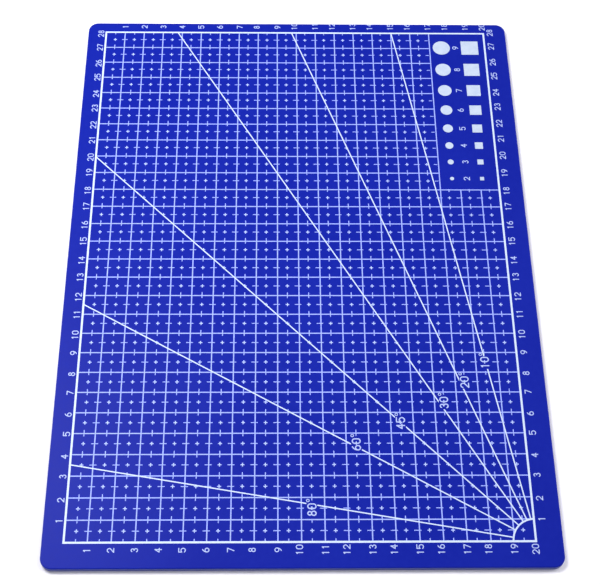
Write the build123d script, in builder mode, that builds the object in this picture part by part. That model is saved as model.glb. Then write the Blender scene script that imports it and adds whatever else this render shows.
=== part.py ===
"""Self-healing cutting mat: three bonded vinyl plies under a white printed measuring face.

The mat lies flat.  X runs across its width, Y along its length, and Z is up.  The origin is the
middle of the underside, so the mat stands on the plane Z = 0 and the ink lies just above its top face.

The printed face has a zero corner of its own, where the two centimetre scales start.  Every printed
mark is drawn on face_plane, whose origin is that corner, so its coordinates read as on the mat's rulers.
The print comes off two screens.  The grid screen carries the centimetre lines.  The scale screen carries
the frame and the numbers, and its film has shrunk a little across the mat.
"""

import os
from math import cos, radians, sin

from build123d import *

# Mat
mat_width = 220.0
mat_length = 298.0
skin_thickness = 1.0
core_thickness = 1.0
corner_radius = 5.0
edge_round = 0.3

# Printed face: where its zero corner lies in from the mat's left and near edges
left_margin = 9.3
near_margin = 11.3
ink_thickness = 0.05

# Centimetre grid
columns = 20
rows = 28
cell = 10.0
grid_line = 0.5

# Scale screen: the pitch and the start of its marks, against the grid's exact centimetres
scale_pitch_x = 9.95
scale_pitch_y = 10.01
scale_start_x = 0.05
scale_start_y = 0.1
frame_line = 0.88

# Protractor in the near right corner: angles are measured from the mat's long direction
protractor_x = 199.5
protractor_y = 0.1
arc_radius = 9.95
arc_line = 0.72
angle_line = 0.52
angle_reach = 340.0
label_height = 4.0
label_gap = 0.35
degree_radius = 0.58
degree_line = 0.34
degree_rise = 1.7
degree_advance = 1.04

# Each angle, and the place along the mat of its label's middle: labels stand in the column that the
# angle's line crosses there, counted from the left
angle_labels_at = {80: (10, 14.4), 60: (12, 44.6), 45: (14, 54.8), 30: (16, 64.7), 20: (17, 74.9), 10: (18, 84.8)}

# Edge scales: the numbers read towards the far edge.  A lag is how far past its mark a number stands.  The
# numbers were set in pairs, 7 with 8 and 9 with 10, and each is pulled a little towards its partner
number_height = 3.1
left_numbers_x = -2.6
right_numbers_x = 202.45
near_numbers_y = -3.3
far_numbers_y = 284.85
short_far_numbers_y = 284.2
two_digits_from = 10
left_numbers_lag = -0.7
right_numbers_lag = -0.4
long_lag_from = 20
long_lag = 1.0
row_pull = 0.35
column_pull = 0.5
column_pairs_from = 7

# Gauge panel: discs and squares from 9 mm down to 2 mm, clear of the grid
panel_columns = 3
panel_rows = 10
gauge_largest = 9
gauge_smallest = 2
gauge_first_y = 270.5
gauge_space = 6.2
gauge_least_pitch = 10.1
disc_x = 176.2
gauge_number_x = 183.5
square_x = 191.05

# Numerals, as shares of their height
digit_width = 0.66
digit_stroke = 0.13
digit_pitch = 0.79
upper_bowl = 0.2
crossbar = 0.14
stem_shift = 0.1

# Worked out from the sizes above
mat_thickness = 2 * skin_thickness + core_thickness
face_plane = Plane((-mat_width / 2 + left_margin, -mat_length / 2 + near_margin, mat_thickness))
face_middle = (mat_width / 2 - left_margin, mat_length / 2 - near_margin)
grid_width = columns * cell
grid_length = rows * cell
scale_width = columns * scale_pitch_x
scale_length = rows * scale_pitch_y
scale_middle = (scale_start_x + scale_width / 2, scale_start_y + scale_length / 2)
panel_left = grid_width - panel_columns * cell
panel_near = grid_length - panel_rows * cell
label_length = label_height * (digit_pitch + digit_width)


def outline_sketch(inset: float = 0.0, mode: Mode = Mode.ADD) -> None:
    """Draw the mat's outline, drawn in by an inset, in the open sketch."""
    RectangleRounded(mat_width - 2 * inset, mat_length - 2 * inset, corner_radius - inset, mode=mode)


def inside_frame() -> None:
    """Trim the open sketch to the inside of the printed frame."""
    with Locations(scale_middle):
        Rectangle(scale_width - frame_line, scale_length - frame_line, mode=Mode.INTERSECT)


def save(part: BuildPart, name: str) -> None:
    """Label a finished piece and write it to its own STEP file."""
    part.part.label = name
    export_step(part.part, f"parts/{name}.step")


# --- Numerals ---------------------------------------------------------------------------------------


def ring(radius: float, middle_y: float) -> Sketch:
    """Return a ring of the numerals' stroke width."""
    with BuildSketch(mode=Mode.PRIVATE) as art:
        with Locations((0, middle_y)):
            Circle(radius + digit_stroke / 2)
            Circle(radius - digit_stroke / 2, mode=Mode.SUBTRACT)
    return art.sketch


def strokes(*paths) -> Sketch:
    """Return the round-ended strokes along some lines and arcs."""
    with BuildSketch(mode=Mode.PRIVATE) as art:
        for path in paths:
            SlotArc(path, digit_stroke)
    return art.sketch


def digit_art(digit: int) -> Sketch:
    """Return one numeral of height 1 about the origin.

    The lines and arcs are where the middle of the stroke runs.  side and top are its furthest places,
    bowl is the middle of a round bowl that fills the numeral's width, and an 8 is two rings that touch.
    """
    side = (digit_width - digit_stroke) / 2
    top = (1 - digit_stroke) / 2
    bowl = top - side
    lower_bowl = top - upper_bowl
    if digit == 0:
        with BuildSketch(mode=Mode.PRIVATE) as art:
            SlotOverall(1, digit_width, rotation=90)
            SlotOverall(1 - 2 * digit_stroke, digit_width - 2 * digit_stroke, rotation=90, mode=Mode.SUBTRACT)
        return art.sketch
    if digit == 1:
        head = (0, top)
        return strokes(Line((0, -top), head), Line(head, (-crossbar, top - crossbar)))
    if digit == 2:
        crown = CenterArc((0, bowl), side, 165, -205)
        return strokes(crown, Line(crown @ 1, (-side, -top)), Line((-side, -top), (side, -top)))
    if digit == 3:
        upper = CenterArc((0, top - upper_bowl), upper_bowl, 155, -245)
        lower = CenterArc((0, lower_bowl - top), lower_bowl, 90, -245)
        return strokes(upper, lower)
    if digit == 4:
        head = (stem_shift, top)
        elbow = (-side, -crossbar)
        return strokes(Line((stem_shift, -top), head), Line(head, elbow), Line(elbow, (side, -crossbar)))
    if digit == 5:
        shoulder = (-side, top)
        hip = (-side, 0)
        belly = ThreePointArc(hip, (side, -crossbar), (-side, stem_shift - top))
        return strokes(Line((side, top), shoulder), Line(shoulder, hip), belly)
    if digit == 6:
        stem = TangentArc((-side, -bowl), (stem_shift, top), tangent=(0, 1))
        return ring(side, -bowl) + strokes(stem)
    if digit == 7:
        corner = (side, top)
        return strokes(Line((-side, top), corner), Line(corner, (-stem_shift, -top)))
    if digit == 8:
        return ring(upper_bowl, top - upper_bowl) + ring(lower_bowl, lower_bowl - top)
    return Rot(0, 0, 180) * digit_art(6)


digits = [digit_art(digit) for digit in range(10)]


def print_numbers(height: float, spots: list[tuple[int, float, float]]) -> None:
    """Stamp numbers in the open sketch, reading towards +Y, each about its own middle.

    Args:
        height: the numerals' height.
        spots: for each number, its value and the X and Y of its middle.
    """
    places = {digit: [] for digit in range(10)}
    for value, middle_x, middle_y in spots:
        text = str(value)
        for index, letter in enumerate(text):
            shift = (index - (len(text) - 1) / 2) * digit_pitch * height
            places[int(letter)].append(Location((middle_x, middle_y + shift), 90))
    for digit, locations in places.items():
        if locations:
            with Locations(*locations):
                add(digits[digit].scale(height))


def across(count: float) -> float:
    """Return the X of a centimetre count across the mat, on the scale screen."""
    return scale_start_x + count * scale_pitch_x


def along(count: float) -> float:
    """Return the Y of a centimetre count along the mat, on the scale screen."""
    return scale_start_y + count * scale_pitch_y


def pulled(count: int, pull: float) -> float:
    """Return the shift that brings an odd number and the even one after it together."""
    return pull if count % 2 else -pull


def column_number_x(column: int) -> float:
    """Return the X of a column number's middle."""
    return across(column) + (pulled(column, column_pull) if column >= column_pairs_from else 0)


# --- The three plies --------------------------------------------------------------------------------

with BuildPart() as bottom_skin:
    with BuildSketch():
        outline_sketch()
    extrude(amount=skin_thickness)
    fillet(bottom_skin.faces().sort_by(Axis.Z)[0].edges(), edge_round)

with BuildPart() as core_sheet:
    with BuildSketch(Plane.XY.offset(skin_thickness)):
        outline_sketch()
    extrude(amount=core_thickness)

with BuildPart() as top_skin:
    with BuildSketch(Plane.XY.offset(skin_thickness + core_thickness)):
        outline_sketch()
    extrude(amount=skin_thickness)
    fillet(top_skin.faces().sort_by(Axis.Z)[-1].edges(), edge_round)

# --- Print: frame -----------------------------------------------------------------------------------

with BuildPart() as printed_frame:
    with BuildSketch(face_plane):
        with Locations(scale_middle):
            Rectangle(scale_width + frame_line, scale_length + frame_line)
            Rectangle(scale_width - frame_line, scale_length - frame_line, mode=Mode.SUBTRACT)
    extrude(amount=ink_thickness)

# --- Print: protractor ------------------------------------------------------------------------------

with BuildPart() as protractor_arc:
    with BuildSketch(face_plane):
        with Locations((protractor_x, protractor_y)):
            Circle(arc_radius + arc_line / 2)
            Circle(arc_radius - arc_line / 2, mode=Mode.SUBTRACT)
        inside_frame()
    extrude(amount=ink_thickness)

with BuildPart() as angle_labels:
    with BuildSketch(face_plane):
        label_spots = [
            (angle, across(column + 0.5), middle_y) for angle, (column, middle_y) in angle_labels_at.items()
        ]
        print_numbers(label_height, label_spots)
        for _, middle_x, middle_y in label_spots:
            ring_y = middle_y + digit_pitch * label_height + degree_advance
            with Locations((middle_x - degree_rise, ring_y)):
                Circle(degree_radius + degree_line / 2)
                Circle(degree_radius - degree_line / 2, mode=Mode.SUBTRACT)
    extrude(amount=ink_thickness)

with BuildPart() as angle_lines:
    with BuildSketch(face_plane) as angle_art:
        for angle in angle_labels_at:
            middle = angle_reach / 2
            spot = (protractor_x - middle * sin(radians(angle)), protractor_y + middle * cos(radians(angle)))
            with Locations(spot):
                Rectangle(angle_line, angle_reach, rotation=angle)
        inside_frame()
        with Locations((protractor_x, protractor_y)):
            Circle(arc_radius + arc_line / 2, mode=Mode.SUBTRACT)
        for _, middle_x, middle_y in label_spots:
            with Locations((middle_x, middle_y)):
                Rectangle(label_height + 2 * label_gap, label_length + 2 * label_gap, mode=Mode.SUBTRACT)
    extrude(amount=ink_thickness)

# --- Print: centimetre grid -------------------------------------------------------------------------

with BuildPart() as centimetre_grid:
    with BuildSketch(face_plane):
        for column in range(1, columns):
            length = panel_near if column > columns - panel_columns else grid_length
            with Locations((column * cell, 0)):
                Rectangle(grid_line, length, align=(Align.CENTER, Align.MIN))
        for row in range(1, rows):
            width = panel_left if row > rows - panel_rows else grid_width
            with Locations((0, row * cell)):
                Rectangle(width, grid_line, align=(Align.MIN, Align.CENTER))
        inside_frame()
        with Locations((protractor_x, protractor_y)):
            Circle(arc_radius + arc_line / 2, mode=Mode.SUBTRACT)
        add(angle_art.sketch_local, mode=Mode.SUBTRACT)
    extrude(amount=ink_thickness)

# --- Print: edge scales -----------------------------------------------------------------------------

with BuildPart() as left_scale_numbers:
    with BuildSketch(face_plane):
        left_spots = []
        for row in range(1, rows + 1):
            left_spots.append((row, left_numbers_x, along(row) + left_numbers_lag + pulled(row, row_pull)))
        print_numbers(number_height, left_spots)
    extrude(amount=ink_thickness)

with BuildPart() as right_scale_numbers:
    with BuildSketch(face_plane):
        right_spots = []
        for row in range(1, rows + 1):
            lag = long_lag if row >= long_lag_from else right_numbers_lag
            right_spots.append((row, right_numbers_x, along(row) + lag + pulled(row, row_pull)))
        print_numbers(number_height, right_spots)
    extrude(amount=ink_thickness)

with BuildPart() as near_scale_numbers:
    with BuildSketch(face_plane):
        near_spots = []
        for column in range(1, columns + 1):
            near_spots.append((column, column_number_x(column), near_numbers_y))
        print_numbers(number_height, near_spots)
    extrude(amount=ink_thickness)

with BuildPart() as far_scale_numbers:
    with BuildSketch(face_plane):
        far_spots = []
        for column in range(1, columns + 1):
            middle_y = short_far_numbers_y if column < two_digits_from else far_numbers_y
            far_spots.append((column, column_number_x(column), middle_y))
        print_numbers(number_height, far_spots)
        with Locations(face_middle):
            outline_sketch(edge_round, Mode.INTERSECT)
    extrude(amount=ink_thickness)

# --- Print: gauge panel -----------------------------------------------------------------------------

# A row's step to the next is half of both sizes and the space between them, or the numerals' least pitch
gauge_rows = {}
gauge_y = gauge_first_y
for size in range(gauge_largest, gauge_smallest - 1, -1):
    gauge_rows[size] = gauge_y
    gauge_y -= max(size - 0.5 + gauge_space, gauge_least_pitch)

with BuildPart() as gauge_discs:
    with BuildSketch(face_plane):
        for size, row_y in gauge_rows.items():
            with Locations((disc_x, row_y)):
                Circle(size / 2)
    extrude(amount=ink_thickness)

with BuildPart() as gauge_squares:
    with BuildSketch(face_plane):
        for size, row_y in gauge_rows.items():
            with Locations((square_x, row_y)):
                Rectangle(size, size)
    extrude(amount=ink_thickness)

with BuildPart() as gauge_numbers:
    with BuildSketch(face_plane):
        print_numbers(number_height, [(size, gauge_number_x, row_y) for size, row_y in gauge_rows.items()])
    extrude(amount=ink_thickness)

# --- Write every piece ------------------------------------------------------------------------------

os.makedirs("parts", exist_ok=True)
save(bottom_skin, "bottom_skin")
save(core_sheet, "core_sheet")
save(top_skin, "top_skin")
save(printed_frame, "printed_frame")
save(centimetre_grid, "centimetre_grid")
save(protractor_arc, "protractor_arc")
save(angle_lines, "angle_lines")
save(angle_labels, "angle_labels")
save(left_scale_numbers, "left_scale_numbers")
save(right_scale_numbers, "right_scale_numbers")
save(near_scale_numbers, "near_scale_numbers")
save(far_scale_numbers, "far_scale_numbers")
save(gauge_discs, "gauge_discs")
save(gauge_squares, "gauge_squares")
save(gauge_numbers, "gauge_numbers")
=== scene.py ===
"""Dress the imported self-healing cutting mat: vinyl plies, screen-printed ink, floor, light and camera.

The CAD frame holds the mat's sizes.  Here the three plies are made again as die-cut vinyl sheets with
soft edges, the half-centimetre ticks and the cell crosses are printed on them, and the CAD's own printed
films are kept where they lie and given their ink.  Everything is in metres: X across, Y along the mat and
Z up.
"""

import logging
import math
from dataclasses import dataclass
from enum import Enum

import bpy
import numpy as np
from mathutils import Matrix, Vector


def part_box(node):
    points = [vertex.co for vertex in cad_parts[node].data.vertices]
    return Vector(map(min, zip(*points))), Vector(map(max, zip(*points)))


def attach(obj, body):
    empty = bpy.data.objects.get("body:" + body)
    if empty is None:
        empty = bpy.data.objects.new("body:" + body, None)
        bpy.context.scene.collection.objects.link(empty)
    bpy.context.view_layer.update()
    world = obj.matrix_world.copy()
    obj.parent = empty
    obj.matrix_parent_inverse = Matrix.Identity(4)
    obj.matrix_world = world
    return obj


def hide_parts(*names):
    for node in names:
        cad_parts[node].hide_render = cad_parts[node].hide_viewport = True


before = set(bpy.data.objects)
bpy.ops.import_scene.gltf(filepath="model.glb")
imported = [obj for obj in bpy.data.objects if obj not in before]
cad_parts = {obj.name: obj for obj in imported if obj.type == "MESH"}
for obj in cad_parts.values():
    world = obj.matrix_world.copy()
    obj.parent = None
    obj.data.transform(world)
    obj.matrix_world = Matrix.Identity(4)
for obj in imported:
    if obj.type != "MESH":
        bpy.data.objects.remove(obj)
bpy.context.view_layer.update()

MM = 0.001
log = logging.getLogger("cutting_mat")


# --- Small helpers ----------------------------------------------------------------------------------


def linear(colour: str) -> tuple[float, float, float, float]:
    """Turn an sRGB hex colour into the linear RGBA that shaders use.

    Args:
        colour: the colour as "#rrggbb".

    Returns:
        Linear red, green and blue, with an alpha of 1.
    """
    shares = [int(colour[start:start + 2], 16) / 255 for start in (1, 3, 5)]
    bright = [s / 12.92 if s <= 0.04045 else ((s + 0.055) / 1.055) ** 2.4 for s in shares]
    return (*bright, 1.0)


def per_metre(size_mm: float) -> float:
    """Return the texture scale at which one pattern feature is size_mm wide."""
    return 1.0 / (size_mm * MM)


def add_node(tree: bpy.types.NodeTree, kind: str, settings: dict | None = None,
             links: dict | None = None) -> bpy.types.Node:
    """Add a shader node with its settings and its incoming links.

    Args:
        tree: the node tree that the node joins.
        kind: the node's Blender type name.
        settings: property names (in lower case), input names or input numbers, and their values.
        links: input names or numbers, and the output sockets that feed them.

    Returns:
        The new node.
    """
    node = tree.nodes.new(kind)
    for name, value in (settings or {}).items():
        if isinstance(name, str) and hasattr(node, name):
            setattr(node, name, value)
        else:
            node.inputs[name].default_value = value
    for name, socket in (links or {}).items():
        tree.links.new(socket, node.inputs[name])
    return node


def mesh_object(name: str, vertices: np.ndarray, quads: np.ndarray,
                triangles: np.ndarray) -> bpy.types.Object:
    """Make an object from vertex places and faces, all given as whole arrays.

    Args:
        name: the piece's name.
        vertices: places, one row of three for each vertex, in metres.
        quads: four vertex numbers a row.
        triangles: three vertex numbers a row.

    Returns:
        The new object, linked to the scene, with smooth faces.
    """
    mesh = bpy.data.meshes.new(name)
    corners = np.concatenate([quads.ravel(), triangles.ravel()]).astype(np.int32)
    sizes = np.concatenate([np.full(len(quads), 4), np.full(len(triangles), 3)]).astype(np.int32)
    mesh.vertices.add(len(vertices))
    mesh.vertices.foreach_set("co", vertices.astype(np.float32).ravel())
    mesh.loops.add(len(corners))
    mesh.loops.foreach_set("vertex_index", corners)
    mesh.polygons.add(len(sizes))
    mesh.polygons.foreach_set("loop_start", (np.cumsum(sizes) - sizes).astype(np.int32))
    mesh.polygons.foreach_set("use_smooth", np.ones(len(sizes), bool))
    mesh.update(calc_edges=True)
    mesh.validate()
    piece = bpy.data.objects.new(name, mesh)
    bpy.context.scene.collection.objects.link(piece)
    return piece


def closed_surface(rings: np.ndarray, bottom: np.ndarray, top: np.ndarray) -> tuple[np.ndarray, ...]:
    """Stitch stacked rings into closed shells, one shell for each item.

    A shell is a grid of two parameters: the place along a ring and the ring's number up the shell.  Its
    first ring closes onto the bottom pole and its last onto the top pole.  Rings run anticlockwise seen from
    above, so every face points outwards.

    Args:
        rings: places with axes (item, ring, point, xyz).
        bottom: one pole for each item, with axes (item, xyz).
        top: one pole for each item, with axes (item, xyz).

    Returns:
        The vertices, the quads and the triangles of all the shells.
    """
    items, levels, points, _ = rings.shape
    each = levels * points + 2
    body = rings.reshape(items, levels * points, 3)
    vertices = np.concatenate([body, bottom[:, None], top[:, None]], axis=1).reshape(-1, 3)
    start = (np.arange(items) * each)[:, None, None]
    level = (np.arange(levels - 1) * points)[None, :, None]
    here = np.arange(points)[None, None, :]
    following = (here + 1) % points
    quads = np.stack([start + level + here, start + level + following,
                      start + level + points + following, start + level + points + here], axis=-1)
    low_pole = np.broadcast_to(start + levels * points, (items, 1, points))
    low_fan = np.stack([low_pole, start + following, start + here], axis=-1)
    last = (levels - 1) * points
    high_fan = np.stack([low_pole + 1, start + last + here, start + last + following], axis=-1)
    triangles = np.concatenate([low_fan.reshape(-1, 3), high_fan.reshape(-1, 3)])
    return vertices, quads.reshape(-1, 4), triangles


# --- Finishes ---------------------------------------------------------------------------------------


@dataclass(frozen=True)
class CalenderedVinyl:
    """Plasticised PVC sheet, rolled between matt steel rolls: even colour and a fine dull grain.

    The eye sees a deep, slightly uneven colour with a soft broad sheen, and no sharp reflections.
    """

    name: str
    colour: str
    cloud_colour: str
    # Colour of the upright faces, painted light: lighter than the face on the blue skin, darker on the core.
    painted_edge_lighting_colour: str
    ior: float = 1.46
    sheen_level: float = 0.05
    roughness_low: float = 0.32
    roughness_high: float = 0.42
    cloud_mm: float = 70.0
    cloud_detail: float = 3.0
    mottle_mm: float = 2.6
    mottle_detail: float = 4.0
    grain_mm: float = 0.9
    grain_detail: float = 2.0
    grain_depth_mm: float = 0.03
    grain_strength: float = 0.6
    knife_mm: float = 0.45
    knife_detail: float = 1.0
    knife_stretch: float = 0.12
    knife_depth_mm: float = 0.06
    knife_strength: float = 0.7
    mottle_share: float = 0.45
    cloud_from: float = 0.52
    cloud_to: float = 0.92
    cut_steeper_than: float = 0.35
    face_flatter_than: float = 0.75

    def build(self) -> bpy.types.Material:
        """Build the finish as a node material.

        Two sizes of cloud shift the colour a little, as uneven pigment does.  The grain is drawn coarser
        than the real 0.2 mm so that it shows.  Where a face stands upright, it is a knife-cut edge, with
        fine marks down it, and another colour of painted light: lighter on the blue skin, darker on the
        core.

        Returns:
            The material.
        """
        material = bpy.data.materials.new(self.name)
        material.use_nodes = True
        tree = material.node_tree
        shader = tree.nodes["Principled BSDF"]
        place = add_node(tree, "ShaderNodeTexCoord").outputs["Object"]
        cloud = add_node(tree, "ShaderNodeTexNoise",
                         {"Scale": per_metre(self.cloud_mm), "Detail": self.cloud_detail},
                         {"Vector": place})
        mottle = add_node(tree, "ShaderNodeTexNoise",
                          {"Scale": per_metre(self.mottle_mm), "Detail": self.mottle_detail},
                          {"Vector": place})
        blend = add_node(tree, "ShaderNodeMath", {"operation": "MULTIPLY_ADD", 1: self.mottle_share},
                         {0: mottle.outputs["Fac"], 2: cloud.outputs["Fac"]})
        share = add_node(tree, "ShaderNodeMapRange",
                         {"From Min": self.cloud_from, "From Max": self.cloud_to},
                         {"Value": blend.outputs["Value"]})
        face = add_node(tree, "ShaderNodeMix",
                        {"data_type": "RGBA", 6: linear(self.colour), 7: linear(self.cloud_colour)},
                        {0: share.outputs["Result"]})
        normal = add_node(tree, "ShaderNodeNewGeometry").outputs["Normal"]
        upright = add_node(tree, "ShaderNodeSeparateXYZ", links={"Vector": normal})
        flatness = add_node(tree, "ShaderNodeMath", {"operation": "ABSOLUTE"}, {0: upright.outputs["Z"]})
        # Upright faces are the knife-cut edge: they take the fine knife marks and a colour of painted light.
        cut = add_node(tree, "ShaderNodeMapRange",
                       {"From Min": self.cut_steeper_than, "From Max": self.face_flatter_than,
                        "To Min": 1.0, "To Max": 0.0},
                       {"Value": flatness.outputs["Value"]})
        colour = add_node(tree, "ShaderNodeMix", {"data_type": "RGBA", 7: linear(self.painted_edge_lighting_colour)},
                          {0: cut.outputs["Result"], 6: face.outputs[2]})
        tree.links.new(colour.outputs[2], shader.inputs["Base Color"])
        gloss = add_node(tree, "ShaderNodeMapRange",
                         {"To Min": self.roughness_low, "To Max": self.roughness_high},
                         {"Value": mottle.outputs["Fac"]})
        tree.links.new(gloss.outputs["Result"], shader.inputs["Roughness"])
        grain = add_node(tree, "ShaderNodeTexNoise",
                         {"Scale": per_metre(self.grain_mm), "Detail": self.grain_detail},
                         {"Vector": place})
        grain_bump = add_node(tree, "ShaderNodeBump",
                              {"Strength": self.grain_strength, "Distance": self.grain_depth_mm * MM},
                              {"Height": grain.outputs["Fac"]})
        marks_place = add_node(tree, "ShaderNodeMapping", {"Scale": (1.0, 1.0, self.knife_stretch)},
                               {"Vector": place})
        marks = add_node(tree, "ShaderNodeTexNoise",
                         {"Scale": per_metre(self.knife_mm), "Detail": self.knife_detail},
                         {"Vector": marks_place.outputs["Vector"]})
        cut_marks = add_node(tree, "ShaderNodeMath", {"operation": "MULTIPLY"},
                             {0: marks.outputs["Fac"], 1: cut.outputs["Result"]})
        cut_bump = add_node(tree, "ShaderNodeBump",
                            {"Strength": self.knife_strength, "Distance": self.knife_depth_mm * MM},
                            {"Height": cut_marks.outputs["Value"], "Normal": grain_bump.outputs["Normal"]})
        tree.links.new(cut_bump.outputs["Normal"], shader.inputs["Normal"])
        shader.inputs["IOR"].default_value = self.ior
        shader.inputs["Specular IOR Level"].default_value = self.sheen_level
        return material


@dataclass(frozen=True)
class ScreenInk:
    """White vinyl screen ink, squeezed through a mesh and cured matt.

    The eye sees a dull blue-white that is a little thinner in places, with the mesh's faint cells in it.
    """

    name: str
    colour: str
    thin_colour: str
    ior: float = 1.5
    roughness: float = 0.6
    patch_mm: float = 1.6
    patch_detail: float = 3.0
    patch_from: float = 0.35
    patch_to: float = 0.7
    mesh_mm: float = 0.35
    mesh_wobble: float = 0.25
    mesh_depth_mm: float = 0.008
    mesh_strength: float = 0.5

    def build(self) -> bpy.types.Material:
        """Build the finish as a node material.

        Patches of thinner ink let some blue through.  The cells are those of a screen mesh, drawn three
        times as coarse as the real 0.12 mm so that they show.

        Returns:
            The material.
        """
        material = bpy.data.materials.new(self.name)
        material.use_nodes = True
        tree = material.node_tree
        shader = tree.nodes["Principled BSDF"]
        place = add_node(tree, "ShaderNodeTexCoord").outputs["Object"]
        patch = add_node(tree, "ShaderNodeTexNoise",
                         {"Scale": per_metre(self.patch_mm), "Detail": self.patch_detail},
                         {"Vector": place})
        share = add_node(tree, "ShaderNodeMapRange",
                         {"From Min": self.patch_from, "From Max": self.patch_to},
                         {"Value": patch.outputs["Fac"]})
        colour = add_node(tree, "ShaderNodeMix",
                          {"data_type": "RGBA", 6: linear(self.colour), 7: linear(self.thin_colour)},
                          {0: share.outputs["Result"]})
        tree.links.new(colour.outputs[2], shader.inputs["Base Color"])
        cells = add_node(tree, "ShaderNodeTexVoronoi",
                         {"Scale": per_metre(self.mesh_mm), "Randomness": self.mesh_wobble},
                         {"Vector": place})
        bump = add_node(tree, "ShaderNodeBump",
                        {"Strength": self.mesh_strength, "Distance": self.mesh_depth_mm * MM},
                        {"Height": cells.outputs["Distance"]})
        tree.links.new(bump.outputs["Normal"], shader.inputs["Normal"])
        shader.inputs["IOR"].default_value = self.ior
        shader.inputs["Roughness"].default_value = self.roughness
        return material


@dataclass(frozen=True)
class PaperSweep:
    """White seamless paper that glows a little by its own emission, which is painted light: bright, even and
    dull, with a faint fibre.

    The painted glow keeps the ground white right up to the mat, so that only a thin soft shadow is left.
    It grows with the distance from the mat, where less of the studio light falls.
    """

    name: str = "seamless_paper"
    near_glow: float = 0.16
    far_glow: float = 0.9
    glow_start: float = 0.3
    glow_end: float = 2.5
    colour: str = "#ebe9ee"
    shade_colour: str = "#e7e5eb"
    fibre_mm: float = 4.0
    roughness: float = 0.9
    sheen_level: float = 0.1

    def build(self) -> bpy.types.Material:
        """Build the finish as a node material and return it."""
        material = bpy.data.materials.new(self.name)
        material.use_nodes = True
        tree = material.node_tree
        shader = tree.nodes["Principled BSDF"]
        place = add_node(tree, "ShaderNodeTexCoord").outputs["Object"]
        fibre = add_node(tree, "ShaderNodeTexNoise", {"Scale": per_metre(self.fibre_mm)}, {"Vector": place})
        colour = add_node(tree, "ShaderNodeMix",
                          {"data_type": "RGBA", 6: linear(self.colour), 7: linear(self.shade_colour)},
                          {0: fibre.outputs["Fac"]})
        tree.links.new(colour.outputs[2], shader.inputs["Base Color"])
        shader.inputs["Roughness"].default_value = self.roughness
        shader.inputs["Specular IOR Level"].default_value = self.sheen_level
        shader.inputs["Emission Color"].default_value = linear(self.colour)
        # Painted light: the paper's own emission, weak by the mat and stronger far from it.
        reach = add_node(tree, "ShaderNodeVectorMath", {"operation": "LENGTH"}, {0: place})
        glow = add_node(tree, "ShaderNodeMapRange",
                        {"From Min": self.glow_start, "From Max": self.glow_end,
                         "To Min": self.near_glow, "To Max": self.far_glow},
                        {"Value": reach.outputs["Value"]})
        tree.links.new(glow.outputs["Result"], shader.inputs["Emission Strength"])
        return material


# --- The three plies --------------------------------------------------------------------------------


class Ply(Enum):
    """The mat's three plies, from the bench up: piece name, CAD node and material slot."""

    BOTTOM = ("bottom_skin_vinyl", "bottom_skin", "blue_vinyl")
    CORE = ("core_sheet_vinyl", "core_sheet", "core_vinyl")
    TOP = ("top_skin_vinyl", "top_skin", "blue_vinyl")

    def __init__(self, piece_name: str, node: str, slot: str) -> None:
        """Keep the three words under their own names."""
        self.piece_name = piece_name
        self.node = node
        self.slot = slot


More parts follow.
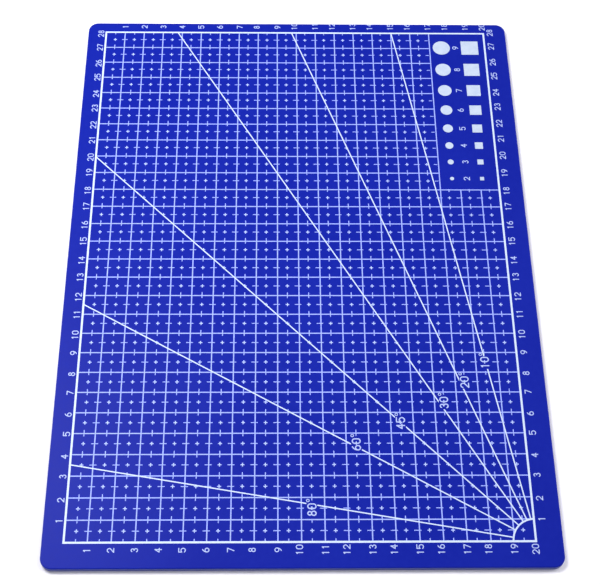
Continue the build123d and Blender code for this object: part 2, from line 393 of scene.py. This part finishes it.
@dataclass
class Laminate:
    """The three bonded plies, die-cut in one stroke."""

    corner_radius: float = 5.0 * MM
    outer_round: float = 0.3 * MM
    seam_round: float = 0.09 * MM
    knife_wander: float = 0.04 * MM
    wander_length: float = 23.0 * MM
    wander_mean: float = 0.5
    wander_slow: float = 0.3
    wander_quick: float = 0.2
    step: float = 2.0 * MM
    corner_points: int = 12
    round_points: int = 5
    shelf: float = 0.4 * MM
    face_rings: int = 4
    smallest_ring: float = 0.25

    def perimeter(self, half_width: float, half_length: float) -> tuple[np.ndarray, np.ndarray]:
        """Walk once round a rounded rectangle, anticlockwise.

        Each corner is a quarter circle, centre plus radius times (cosine, sine) of an angle that grows by a
        right angle a corner.  Each side is a straight blend from the end of one arc to the start of the
        next.

        Args:
            half_width: half the outline's size along X.
            half_length: half its size along Y.

        Returns:
            The outline's points and its outward normals, one row of XY each.
        """
        signs = np.array([(1, 1), (-1, 1), (-1, -1), (1, -1)], float)
        centres = signs * (half_width - self.corner_radius, half_length - self.corner_radius)
        turn = np.linspace(0, math.pi / 2, self.corner_points)
        angles = np.arange(4)[:, None] * math.pi / 2 + turn
        normals = np.stack([np.cos(angles), np.sin(angles)], axis=-1)
        arcs = centres[:, None] + self.corner_radius * normals
        points_out, normals_out = [], []
        for corner in range(4):
            start, end = arcs[corner, -1], arcs[(corner + 1) % 4, 0]
            count = int(np.linalg.norm(end - start) / self.step)
            share = (np.arange(1, count) / count)[:, None]
            points_out += [arcs[corner], start + (end - start) * share]
            normals_out += [normals[corner], np.repeat(normals[corner, -1:], count - 1, axis=0)]
        return np.concatenate(points_out), np.concatenate(normals_out)

    def edge_profile(self, low: float, high: float, ply: Ply) -> np.ndarray:
        """Give the cut edge of a ply as rows of (inset, height), from its lower face to its upper one.

        Each rounded edge is a quarter circle in inset and height, with a narrow flat shelf inside it that
        keeps the face's shading level.  The mat's bench and top edges are round, and the edges that
        meet another ply are only eased, so that the seam shows as a fine groove.

        Args:
            low: the height of the ply's lower face.
            high: the height of its upper face.
            ply: which ply it is.

        Returns:
            The profile's rows.
        """
        under = self.outer_round if ply is Ply.BOTTOM else self.seam_round
        over = self.outer_round if ply is Ply.TOP else self.seam_round
        angle = np.linspace(0, math.pi / 2, self.round_points)
        lower = np.stack([under * (1 - np.sin(angle)), low + under * (1 - np.cos(angle))], axis=-1)
        upper = np.stack([over * (1 - np.cos(angle)), high - over * (1 - np.sin(angle))], axis=-1)
        shelves = np.array([[under + self.shelf, low], [over + self.shelf, high]])
        return np.concatenate([shelves[:1], lower, upper, shelves[1:]])

    def build_ply(self, ply: Ply) -> bpy.types.Object:
        """Make one ply as a closed surface: its edge profile carried round the outline.

        A point of the edge is the outline's point, moved in along the normal by the profile's inset and by
        the knife's wander, which is two sines of the distance walked.  The flat faces are rings that shrink
        from the edge to a pole at the middle.

        Args:
            ply: which ply to make.

        Returns:
            The new object.
        """
        low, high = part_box(ply.node)
        points, normals = self.perimeter(high.x, high.y)
        around = 4 * (high.x + high.y)
        walked = np.arange(len(points)) / len(points) * around
        turns = np.round(around / self.wander_length)
        phase = 2 * math.pi * walked * turns / around
        quick_phase = 3 * phase + low.z / MM
        wander = self.knife_wander * (self.wander_mean + self.wander_slow * np.sin(phase)
                                      + self.wander_quick * np.sin(quick_phase))
        profile = self.edge_profile(low.z, high.z, ply)
        inset = profile[:, 0][:, None] + wander[None, :]
        edge = points[None] - normals[None] * inset[..., None]
        heights = np.broadcast_to(profile[:, 1][:, None, None], (*inset.shape, 1))
        wall = np.concatenate([edge, heights], axis=-1)
        shrink = np.linspace(self.smallest_ring, 1.0, self.face_rings, endpoint=False)
        under = np.concatenate([wall[0][None, :, :2] * shrink[:, None, None],
                                np.full((self.face_rings, len(points), 1), low.z)], axis=-1)
        over = np.concatenate([wall[-1][None, :, :2] * shrink[::-1, None, None],
                               np.full((self.face_rings, len(points), 1), high.z)], axis=-1)
        rings = np.concatenate([under, wall, over])
        middle = np.array([[0.0, 0.0, low.z]])
        surface = closed_surface(rings[None], middle, middle + (0, 0, high.z - low.z))
        return mesh_object(ply.piece_name, *surface)

    def build(self) -> list[bpy.types.Object]:
        """Make and dress the three plies.

        Returns:
            The pieces, from the bench up.
        """
        # The edge colours are painted light: the blue skin's edge lighter, as painted light on its rounded
        # edge, and the core's edge darker, as painted shade on the wall.
        skin = CalenderedVinyl("calendered_blue_vinyl", colour="#0f1d90", cloud_colour="#132296",
                               painted_edge_lighting_colour="#2232a2").build()
        core = CalenderedVinyl("calendered_core_vinyl", colour="#7d84ad", cloud_colour="#868cb2",
                               painted_edge_lighting_colour="#6b729b").build()
        pieces = []
        for ply in Ply:
            piece = self.build_ply(ply)
            piece.data.materials.append(core if ply is Ply.CORE else skin)
            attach(piece, "root")
            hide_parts(ply.node)
            pieces.append(piece)
        return pieces


# --- Print ------------------------------------------------------------------------------------------


@dataclass
class PrintedMarks:
    """The half-centimetre ticks and the cell crosses, which share the scale screen with the frame.

    A film's edge is three rings.  ring_insets gives how much of the shoulder each is drawn in by, and
    ring_heights how much of the film's thickness it lies at.
    """

    columns: int = 20
    rows: int = 28
    panel_columns: int = 3
    panel_rows: int = 10
    frame_line: float = 0.88 * MM
    grid_line: float = 0.5 * MM
    tick_line: float = 0.42 * MM
    tick_length: float = 3.2 * MM
    cross_line: float = 0.46 * MM
    cross_length: float = 1.7 * MM
    label_clearance: float = 1.8 * MM
    film: float = 0.044 * MM
    shoulder: float = 0.05 * MM
    ring_insets: tuple[float, ...] = (0.0, 0.25, 1.0)
    ring_heights: tuple[float, ...] = (0.0, 0.7, 1.0)
    round_points: int = 4

    def __post_init__(self) -> None:
        """Take the scale screen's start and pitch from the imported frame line, and the skin's height."""
        low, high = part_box("printed_frame")
        self.start = np.array([low.x, low.y]) + self.frame_line / 2
        self.end = np.array([high.x, high.y]) - self.frame_line / 2
        self.pitch = (self.end - self.start) / (self.columns, self.rows)
        self.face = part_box("top_skin")[1].z
        self.insets = np.array(self.ring_insets) * self.shoulder
        self.heights = self.face + np.array(self.ring_heights) * self.film

    def lattice(self, across: np.ndarray, along: np.ndarray) -> np.ndarray:
        """Return the places of every pair of counts outside the gauge panel, one row of XY each."""
        grid = np.stack(np.meshgrid(across, along, indexing="ij"), axis=-1).reshape(-1, 2)
        panel_corner = (self.columns - self.panel_columns, self.rows - self.panel_rows)
        in_panel = (grid > panel_corner).all(axis=1)
        return self.start + grid[~in_panel] * self.pitch

    def films(self, outlines: np.ndarray, middles: np.ndarray) -> tuple[np.ndarray, ...]:
        """Raise outlines into closed films of ink.

        Going up, an outline draws in by the shoulder while the height grows, as ink does when it flows and
        cures.

        Args:
            outlines: the drawn-in outlines, with axes (item, ring, point, xy).
            middles: the films' middles, one row of XY each.

        Returns:
            The vertices, quads and triangles of all the films.
        """
        tall = np.broadcast_to(self.heights[None, :, None, None], (*outlines.shape[:3], 1))
        rings = np.concatenate([outlines, tall], axis=-1)
        base = np.concatenate([middles, np.full((len(middles), 1), self.face)], axis=-1)
        return closed_surface(rings, base, base + (0, 0, self.film))

    def bars(self, low: np.ndarray, high: np.ndarray) -> tuple[np.ndarray, ...]:
        """Make a film with round ends over each box from low to high.

        A film's outline is a stadium: two half circles about the ends of its middle line.

        Args:
            low: the boxes' lowest corners, one row of XY each.
            high: their highest corners.

        Returns:
            The vertices, quads and triangles of all the films.
        """
        middle, half = (low + high) / 2, (high - low) / 2
        radius = half.min(axis=1)
        reach = half - radius[:, None]
        half_turn = np.linspace(-math.pi / 2, math.pi / 2, self.round_points)
        lengthways = np.where(half[:, 0] >= half[:, 1], 0.0, math.pi / 2)
        angles = np.concatenate([half_turn, half_turn + math.pi])[None] + lengthways[:, None]
        side = np.repeat([1.0, -1.0], self.round_points)
        circle = np.stack([np.cos(angles), np.sin(angles)], axis=-1)
        centres = middle[:, None] + reach[:, None] * side[None, :, None]
        drawn = (radius[:, None] - self.insets)[:, :, None, None]
        return self.films(centres[:, None] + circle[:, None] * drawn, middle)

    def plus_signs(self, places: np.ndarray) -> tuple[np.ndarray, ...]:
        """Make a film in the shape of a plus sign at each place.

        An arm gives three corners of the outline: the two at its end, and the inner one after them.  Turned
        by a quarter four times, they make the twelve corners, anticlockwise.

        Args:
            places: the signs' middles, one row of XY each.

        Returns:
            The vertices, quads and triangles of all the signs.
        """
        reach = (self.cross_length / 2 - self.insets)[:, None]
        half = (self.cross_line / 2 - self.insets)[:, None]
        arm_x = np.concatenate([reach, reach, half], axis=1)[:, None]
        arm_y = np.concatenate([-half, half, half], axis=1)[:, None]
        turn = np.arange(4)[:, None] * math.pi / 2
        corner_x = arm_x * np.cos(turn) - arm_y * np.sin(turn)
        corner_y = arm_x * np.sin(turn) + arm_y * np.cos(turn)
        outline = np.stack([corner_x, corner_y], axis=-1).reshape(len(self.insets), -1, 2)
        return self.films(places[:, None, None] + outline[None], places)

    def label_feet(self) -> np.ndarray:
        """Return the lowest Y of the angle label in each column of cells, or infinity without one."""
        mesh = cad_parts["angle_labels"].data
        places = np.empty(len(mesh.vertices) * 3, np.float32)
        mesh.vertices.foreach_get("co", places)
        places = places.reshape(-1, 3)
        column = ((places[:, 0] - self.start[0]) / self.pitch[0]).astype(int)
        feet = np.full(self.columns, np.inf)
        np.minimum.at(feet, column, places[:, 1])
        return feet

    def tick_boxes(self) -> tuple[np.ndarray, np.ndarray]:
        """Return the lowest and highest corners of every tick.

        A tick crosses a centimetre line midway between two others.  Ticks on the near and far frame lines
        reach inwards only, ticks on the edge of the gauge panel stay out of it, and a tick under an angle
        label stops short of it.
        """
        lengthwise = self.lattice(np.arange(self.columns) + 0.5, np.arange(self.rows + 1))
        crosswise = self.lattice(np.arange(1, self.columns), np.arange(self.rows) + 0.5)
        long_half = np.array([self.tick_line, self.tick_length]) / 2
        places = np.concatenate([lengthwise, crosswise])
        halves = np.repeat([long_half, long_half[::-1]], [len(lengthwise), len(crosswise)], axis=0)
        low = np.maximum(places - halves, self.start)
        high = np.minimum(places + halves, self.end)
        panel = self.end - (self.panel_columns, self.panel_rows) * self.pitch
        past = places > panel + self.grid_line
        beside = places > panel - self.grid_line
        stop = panel + self.grid_line / 2
        at_panel = beside & past[:, ::-1]
        high = np.where(at_panel, np.minimum(high, stop), high)
        column = ((places[:, 0] - self.start[0]) / self.pitch[0]).astype(int)
        feet = self.label_feet()[column]
        under_label = (places[:, 1] < feet) & (places[:, 1] > feet - self.tick_length)
        under_label &= halves[:, 1] > halves[:, 0]
        stopped = np.minimum(high[:, 1], feet - self.label_clearance)
        high[:, 1] = np.where(under_label, stopped, high[:, 1])
        return low, high

    def build(self, tick_ink: bpy.types.Material, cross_ink: bpy.types.Material) -> list[bpy.types.Object]:
        """Make the ticks and the crosses, each kind as one piece, and ink them.

        Args:
            tick_ink: the material of the ticks, which print as thin as the centimetre lines.
            cross_ink: the material of the crosses, where the ink gathers and prints brighter.

        Returns:
            The pieces.
        """
        ticks = mesh_object("half_centimetre_ticks", *self.bars(*self.tick_boxes()))
        cells = self.lattice(np.arange(self.columns) + 0.5, np.arange(self.rows) + 0.5)
        crosses = mesh_object("cell_centre_crosses", *self.plus_signs(cells))
        for piece, ink in ((ticks, tick_ink), (crosses, cross_ink)):
            piece.data.materials.append(ink)
            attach(piece, "root")
        return [ticks, crosses]


@dataclass
class PrintedFace:
    """The printed films that the CAD frame holds, and the marks added to them.

    Each kind of print has its own strength of ink: the screen lays down less of it on a fine line than on a
    heavy one.  The nodes named in no list here are the numerals.
    """

    plies: tuple[str, ...] = ("bottom_skin", "core_sheet", "top_skin")
    fine_lines: tuple[str, ...] = ("centimetre_grid",)
    solid_shapes: tuple[str, ...] = ("gauge_discs", "gauge_squares")
    heavy_lines: tuple[str, ...] = ("printed_frame", "protractor_arc", "angle_lines")

    def build(self) -> list[bpy.types.Object]:
        """Ink every printed CAD node and add the ticks and crosses.

        Returns:
            The pieces.
        """
        fine_ink = ScreenInk("white_fine_line_ink", "#9cacf7", "#8c9ef0").build()
        line_ink = ScreenInk("white_line_ink", "#cbd8f0", "#bccbee").build()
        numeral_ink = ScreenInk("white_numeral_ink", "#adbbea", "#9faee4").build()
        cross_ink = ScreenInk("white_cross_ink", "#acbcf6", "#9eaff2").build()
        solid_ink = ScreenInk("white_solid_ink", "#b8c4d8", "#adbad2", patch_mm=3.2).build()
        inks = dict.fromkeys(self.fine_lines, fine_ink)
        inks |= dict.fromkeys(self.heavy_lines, line_ink)
        inks |= dict.fromkeys(self.solid_shapes, solid_ink)
        pieces = []
        for name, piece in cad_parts.items():
            if name in self.plies:
                continue
            piece.data.materials.clear()
            piece.data.materials.append(inks.get(name, numeral_ink))
            pieces.append(piece)
        return pieces + PrintedMarks().build(fine_ink, cross_ink)


# --- Studio -----------------------------------------------------------------------------------------


class LightKind(Enum):
    """The two kinds of studio light, by Blender's type name."""

    SOFTBOX = "AREA"
    BOUNCED_WALL = "SUN"


@dataclass(frozen=True)
class StudioLight:
    """One soft light: its kind, where it stands, how wide it is and how strong.

    A softbox's width is in metres and its strength in watts.  A bounced wall lights the whole room from one
    side, so its width is the angle that it fills, in radians, and its strength is in watts a square metre.
    """

    name: str
    kind: LightKind
    place: tuple[float, float, float]
    width: float
    strength: float

    def build(self, aim: Vector) -> None:
        """Stand the light in its place and turn it to the aim point."""
        light = bpy.data.lights.new(self.name, self.kind.value)
        if self.kind is LightKind.SOFTBOX:
            light.shape = "SQUARE"
            light.size = self.width
        else:
            light.angle = self.width
        light.energy = self.strength
        lamp = bpy.data.objects.new(self.name, light)
        lamp.location = self.place
        lamp.rotation_euler = (aim - Vector(self.place)).to_track_quat("-Z", "Y").to_euler()
        bpy.context.scene.collection.objects.link(lamp)


@dataclass
class Studio:
    """The paper sweep, the soft lights and the camera."""

    floor_half: float = 12.0
    floor_drop: float = 0.02 * MM
    floor_points: int = 33
    sky_colour: str = "#e9eef8"
    wall_strength: float = 1.15
    ceiling_strength: float = 0.16
    walls_to: float = 0.05
    ceiling_from: float = 0.25
    lens_mm: float = 78.98
    sensor_mm: float = 36.0
    camera_place: tuple[float, float, float] = (-0.01256, -0.32603, 0.53445)
    azimuth: float = 2.278
    elevation: float = 59.702
    roll: float = 1.991
    clip_near: float = 0.01
    clip_far: float = 60.0
    aim: tuple[float, float, float] = (0.0, 0.0, 0.0)
    lights: tuple[StudioLight, ...] = (
        StudioLight("key_softbox", LightKind.SOFTBOX, (-0.3, 0.15, 0.62), 0.28, 5.3),
        StudioLight("fill_wall", LightKind.BOUNCED_WALL, (0.95, 0.5, 0.85), 0.9, 2.3),
    )

    def build_floor(self) -> bpy.types.Object:
        """Lay the paper: a sheet of two parameters, flat under the mat and out past every view."""
        spread = np.linspace(-1, 1, self.floor_points)
        eased = spread * np.abs(spread) * self.floor_half
        x, y = np.meshgrid(eased, eased)
        vertices = np.stack([x.ravel(), y.ravel(), np.full(x.size, -self.floor_drop)], axis=-1)
        count = len(spread)
        first = (np.arange(count - 1)[:, None] * count + np.arange(count - 1)).ravel()
        quads = np.stack([first, first + 1, first + count + 1, first + count], axis=-1)
        floor = mesh_object("paper_sweep", vertices, quads, np.empty((0, 3), int))
        floor.data.materials.append(PaperSweep().build())
        return floor

    def build_sky(self) -> None:
        """Fill the room with even, slightly cool light: pale walls near the horizon, a dimmer ceiling above.

        The strength falls from the walls to the ceiling with the height of the direction looked in, which is
        its sine above the horizon.
        """
        world = bpy.data.worlds.new("studio_room")
        world.use_nodes = True
        tree = world.node_tree
        background = tree.nodes["Background"]
        background.inputs["Color"].default_value = linear(self.sky_colour)
        direction = add_node(tree, "ShaderNodeTexCoord").outputs["Generated"]
        height = add_node(tree, "ShaderNodeSeparateXYZ", links={"Vector": direction})
        strength = add_node(tree, "ShaderNodeMapRange",
                            {"From Min": self.walls_to, "From Max": self.ceiling_from,
                             "To Min": self.wall_strength, "To Max": self.ceiling_strength},
                            {"Value": height.outputs["Z"]})
        tree.links.new(strength.outputs["Result"], background.inputs["Strength"])
        bpy.context.scene.world = world

    def build_camera(self) -> None:
        """Place the camera from its azimuth, elevation and roll.

        The view direction follows from azimuth and elevation.  The level right-hand direction is turned
        about it by the roll, and the camera's own axes are right, up and back.
        """
        azimuth, elevation, roll = (math.radians(a) for a in (self.azimuth, self.elevation, self.roll))
        forward = Vector((math.sin(azimuth) * math.cos(elevation),
                          math.cos(azimuth) * math.cos(elevation), -math.sin(elevation)))
        level = Vector((math.cos(azimuth), -math.sin(azimuth), 0.0))
        right = level * math.cos(roll) + level.cross(forward) * math.sin(roll)
        up = right.cross(forward)
        data = bpy.data.cameras.new("camera")
        data.lens = self.lens_mm
        data.sensor_width = self.sensor_mm
        data.clip_start = self.clip_near
        data.clip_end = self.clip_far
        camera = bpy.data.objects.new("camera", data)
        turn = Matrix((right, up, -forward)).transposed().to_4x4()
        camera.matrix_world = Matrix.Translation(self.camera_place) @ turn
        bpy.context.scene.collection.objects.link(camera)
        bpy.context.scene.camera = camera

    def build(self) -> None:
        """Set up the whole studio."""
        scene = bpy.context.scene
        scene.view_settings.view_transform = "Standard"
        self.build_floor()
        self.build_sky()
        self.build_camera()
        for light in self.lights:
            light.build(Vector(self.aim))


def main() -> None:
    """Build the studio, the plies and the print, and report each piece."""
    logging.basicConfig(level=logging.INFO, format="%(name)s: %(message)s")
    Studio().build()
    for piece in Laminate().build() + PrintedFace().build():
        size = piece.dimensions / MM
        log.info("%s: %d faces, %.1f x %.1f x %.2f mm", piece.name, len(piece.data.polygons), *size)


if __name__ == "__main__":
    main()
